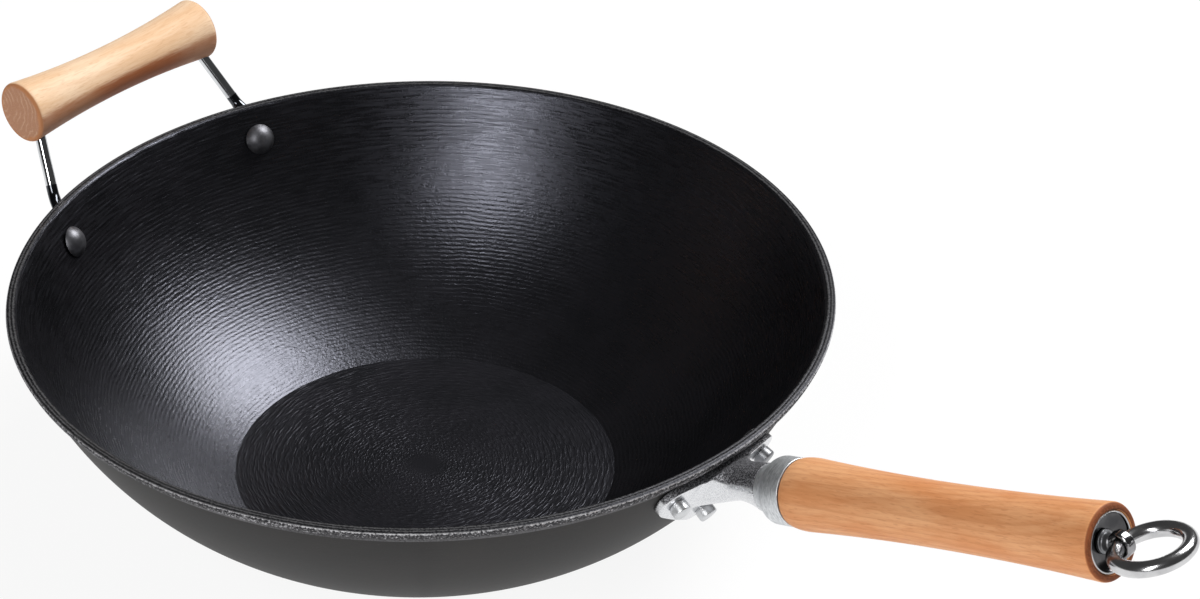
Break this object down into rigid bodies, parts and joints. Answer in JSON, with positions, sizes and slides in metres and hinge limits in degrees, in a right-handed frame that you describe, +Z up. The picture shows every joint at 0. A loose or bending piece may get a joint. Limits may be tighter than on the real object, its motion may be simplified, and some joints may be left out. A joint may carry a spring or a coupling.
{
  "type": "wok",
  "caption": "Round flat-bottomed cast iron wok with a riveted wooden long handle, a wooden helper handle and a swinging hanging ring, for frying and stirring on a hob.",
  "frame": {"origin": "centre of the flat underside of the base", "axes": "+Z up through the bowl, +X from the bowl's centre towards the long handle, +Y to the left when looking from the bowl along the long handle"},
  "size_m": [0.6099, 0.356, 0.1596],
  "materials": {
    "seasoned_iron": "black seasoned iron, satin, with fine turned rings inside and a matte grey outside",
    "pale_wood": "pale close-grained wood, smooth oiled",
    "warm_wood": "warm brown close-grained wood, smooth oiled",
    "cast_metal": "as-cast light metal, satin",
    "brushed_metal": "brushed round its axis",
    "rivet_steel": "darkened satin steel",
    "bright_steel": "bright plated steel"
  },
  "bodies": {
    "wok": {"wok_bowl": "seasoned_iron", "helper_grip": "pale_wood", "helper_leg_left": "bright_steel", "helper_leg_right": "bright_steel", "helper_rivet_left": "rivet_steel", "helper_rivet_right": "rivet_steel", "handle_yoke": "cast_metal", "yoke_rivet_left": "cast_metal", "yoke_rivet_right": "cast_metal", "yoke_rivet_lower": "cast_metal", "ferrule": "brushed_metal", "handle_grip": "warm_wood", "end_cup": "bright_steel", "tie_rod": "bright_steel"},
    "ring": {"hanging_ring": "bright_steel"}
  },
  "joints": [
    {"name": "ring_swing", "type": "hinge", "parent": "wok", "child": "ring", "pos_m": [0.36781, 0, 0.14688], "axis": [-0.0282, 0.9962, 0.0825], "range_deg": [-90, 90]}
  ]
}
